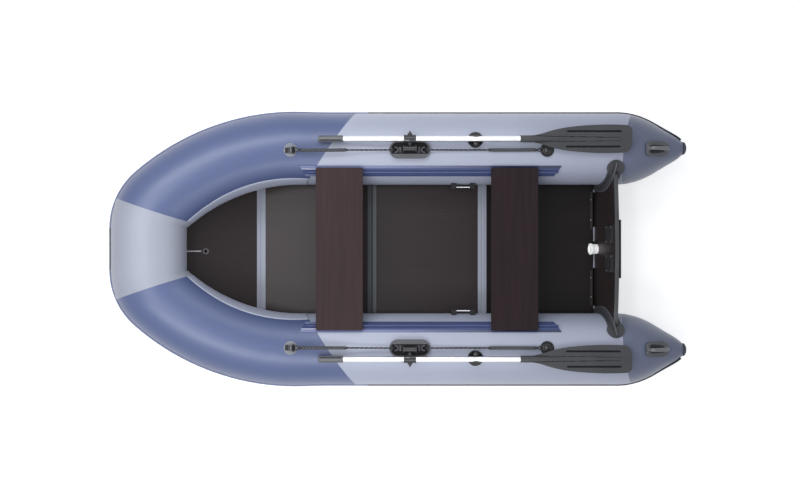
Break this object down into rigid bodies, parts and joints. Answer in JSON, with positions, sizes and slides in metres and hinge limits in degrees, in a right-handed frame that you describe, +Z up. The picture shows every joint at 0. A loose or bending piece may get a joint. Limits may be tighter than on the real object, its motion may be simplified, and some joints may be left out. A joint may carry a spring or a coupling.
{
  "type": "inflatable rowing boat",
  "caption": "Inflatable rowing boat with tapering stern cones, sectional wooden floor, stern board, sliding benches and stowed oars in hinged oarlocks.",
  "frame": {"origin": "ground level under the middle of the boat's overall length and width", "axes": "+X forward to the bow, +Y to port, +Z up"},
  "size_m": [3.2, 1.558, 0.6447],
  "materials": {
    "fabric_blue": "satin",
    "fabric_grey": "satin",
    "rubber_blue": "matte",
    "rubber_dark": "matte",
    "floor_wood": "satin",
    "bench_wood": "satin",
    "transom_wood": "satin",
    "plastic_black": "matte",
    "plastic_grey": "satin",
    "plastic_white": "gloss",
    "aluminium_dark": "satin",
    "aluminium_bright": "satin",
    "rope": "matte"
  },
  "bodies": {
    "hull": {"bow_tube": "fabric_grey", "shoulder_tube_port": "fabric_blue", "shoulder_tube_starboard": "fabric_blue", "side_tube_port": "fabric_grey", "side_tube_starboard": "fabric_grey", "stern_cone_port": "fabric_blue", "stern_cone_starboard": "fabric_blue", "cone_caps": "rubber_dark", "rub_strake_bow": "rubber_dark", "rub_strake_port": "rubber_dark", "rub_strake_starboard": "rubber_dark", "bottom_skin": "fabric_grey", "keel_tube": "fabric_grey", "floor_panel_stern": "floor_wood", "floor_panel_middle": "floor_wood", "floor_panel_fore": "floor_wood", "floor_panel_bow": "floor_wood", "floor_hinge_strips": "fabric_grey", "floor_joiner": "aluminium_dark", "keel_valve": "plastic_white", "transom": "transom_wood", "transom_trim": "rubber_dark", "transom_holders": "rubber_dark", "motor_plates": "plastic_black", "drain_valve": "plastic_white", "seat_rail_port": "rubber_blue", "seat_rail_starboard": "rubber_blue", "fore_rope_eyes": "fabric_grey", "aft_rope_eyes": "plastic_black", "lifeline_port": "rope", "lifeline_starboard": "rope", "oarlock_base_port": "plastic_black", "oarlock_base_starboard": "plastic_black", "oar_clips": "plastic_black", "stern_handles": "plastic_black", "side_grip_rods": "aluminium_bright", "side_grip_mounts": "plastic_black", "towing_eye": "rubber_dark"},
    "oar_port": {"oarlock_pin_port": "plastic_black", "oar_shaft_port": "aluminium_bright", "oar_collar_port": "plastic_black", "oar_grip_port": "rubber_dark", "oar_blade_port": "plastic_grey"},
    "oar_starboard": {"oarlock_pin_starboard": "plastic_black", "oar_shaft_starboard": "aluminium_bright", "oar_collar_starboard": "plastic_black", "oar_grip_starboard": "rubber_dark", "oar_blade_starboard": "plastic_grey"},
    "bench_front": {"bench_front": "bench_wood", "bench_front_tracks": "plastic_black"},
    "bench_rear": {"bench_rear": "bench_wood", "bench_rear_tracks": "plastic_black"}
  },
  "joints": [
    {"name": "oar_lift_port", "type": "hinge", "parent": "hull", "child": "oar_port", "pos_m": [-0.03299, 0.55004, 0.4352], "axis": [1, 0, 0], "range_deg": [0, 110]},
    {"name": "oar_lift_starboard", "type": "hinge", "parent": "hull", "child": "oar_starboard", "pos_m": [-0.03299, -0.55004, 0.4352], "axis": [-1, 0, 0], "range_deg": [0, 110]},
    {"name": "bench_front_slide", "type": "slide", "parent": "hull", "child": "bench_front", "axis": [1, 0, 0], "range_m": [-0.3, 0]},
    {"name": "bench_rear_slide", "type": "slide", "parent": "hull", "child": "bench_rear", "axis": [1, 0, 0], "range_m": [-0.17, 0.3]}
  ]
}
